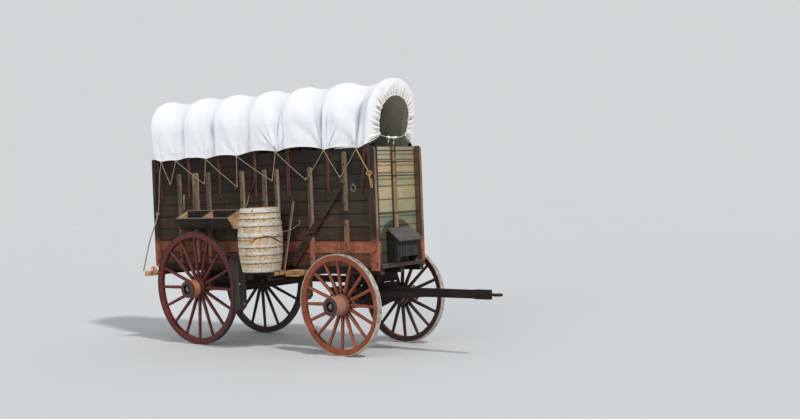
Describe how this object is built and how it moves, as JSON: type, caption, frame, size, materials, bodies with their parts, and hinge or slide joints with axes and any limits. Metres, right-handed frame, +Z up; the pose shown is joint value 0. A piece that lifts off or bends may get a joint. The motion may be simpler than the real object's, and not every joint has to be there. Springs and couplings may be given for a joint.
{
  "type": "covered wagon",
  "caption": "Tall narrow freight wagon with spoked wheels, plank sides, a canvas cover on bows, water barrels, a feed trough, a stiff tongue and a hinged tool box at the front.",
  "frame": {"origin": "on the ground, on the centre plane, midway between the cover's rear end and the tip of the coupling eye", "axes": "+X forward along the tongue, +Y to the wagon's left, +Z up"},
  "size_m": [6.2464, 2.3896, 3.7722],
  "materials": {
    "tyre_iron": "worn bright tread over brown iron",
    "wheel_wood": "old red-brown paint, dusty",
    "gear_wood": "dark oiled timber",
    "board_wood": "weathered grey-green and brown boards",
    "frame_wood": "weathered brown timber",
    "bow_wood": "red-brown bent wood",
    "canvas": "soft weathered canvas",
    "barrel_wood": "weathered staves",
    "hoop_iron": "light galvanised bands, dull",
    "box_wood": "dark grey-brown boards",
    "shoe_wood": "weathered grey-brown timber",
    "black_iron": "dark forged iron",
    "trough_wood": "worn bare boards",
    "pale_wood": "light bare timber"
  },
  "bodies": {
    "wagon": {"barrel_hoops": "hoop_iron", "barrel_platforms": "pale_wood", "bolsters": "gear_wood", "bows": "bow_wood", "brake_beam": "gear_wood", "brake_lever": "pale_wood", "brake_shoes": "shoe_wood", "corner_posts": "frame_wood", "cover": "canvas", "cover_ends": "canvas", "cross_beams": "gear_wood", "cross_rods": "black_iron", "end_cleats": "frame_wood", "feed_trough": "trough_wood", "floor": "board_wood", "front_boards": "board_wood", "headers": "frame_wood", "kingpin": "black_iron", "lid_pin": "black_iron", "reach": "gear_wood", "rear_axle_arms": "black_iron", "rear_axle_bed": "gear_wood", "rear_boards": "board_wood", "rear_coupling": "black_iron", "rear_hounds": "gear_wood", "side_boards_left": "board_wood", "side_boards_right": "board_wood", "side_braces": "frame_wood", "side_stakes": "frame_wood", "sills": "gear_wood", "tool_box": "box_wood", "upper_rub_plate": "black_iron", "water_barrels": "barrel_wood"},
    "front_gear": {"front_axle_bed": "gear_wood", "front_axle_arms": "black_iron", "sand_board": "gear_wood", "front_hounds": "gear_wood", "tongue": "gear_wood", "tongue_eye": "black_iron", "lower_rub_plate": "black_iron"},
    "rear_right_wheel": {"tyre_rear_right": "tyre_iron", "wheel_rear_right": "wheel_wood", "hub_rear_right": "wheel_wood"},
    "rear_left_wheel": {"tyre_rear_left": "tyre_iron", "wheel_rear_left": "wheel_wood", "hub_rear_left": "wheel_wood"},
    "front_right_wheel": {"tyre_front_right": "tyre_iron", "wheel_front_right": "wheel_wood", "hub_front_right": "wheel_wood"},
    "front_left_wheel": {"tyre_front_left": "tyre_iron", "wheel_front_left": "wheel_wood", "hub_front_left": "wheel_wood"},
    "lid": {"tool_box_lid": "box_wood"}
  },
  "joints": [
    {"name": "steer", "type": "hinge", "parent": "wagon", "child": "front_gear", "pos_m": [0.96724, 0, 0.91163], "axis": [0, 0, 1], "range_deg": [-14, 14]},
    {"name": "rear_right_wheel_spin", "type": "hinge", "parent": "wagon", "child": "rear_right_wheel", "pos_m": [-1.89076, -0.718, 0.85574], "axis": [0, 0.9997, 0.0244], "continuous": true},
    {"name": "rear_left_wheel_spin", "type": "hinge", "parent": "wagon", "child": "rear_left_wheel", "pos_m": [-1.89076, 0.718, 0.85574], "axis": [0, 0.9997, -0.0244], "continuous": true},
    {"name": "front_right_wheel_spin", "type": "hinge", "parent": "front_gear", "child": "front_right_wheel", "pos_m": [0.96724, -0.718, 0.69979], "axis": [0, 0.9997, 0.0244], "continuous": true},
    {"name": "front_left_wheel_spin", "type": "hinge", "parent": "front_gear", "child": "front_left_wheel", "pos_m": [0.96724, 0.718, 0.69979], "axis": [0, 0.9997, -0.0244], "continuous": true},
    {"name": "lid_hinge", "type": "hinge", "parent": "wagon", "child": "lid", "pos_m": [1.47924, 0, 1.70954], "axis": [0, -1, 0], "range_deg": [0, 110]}
  ]
}
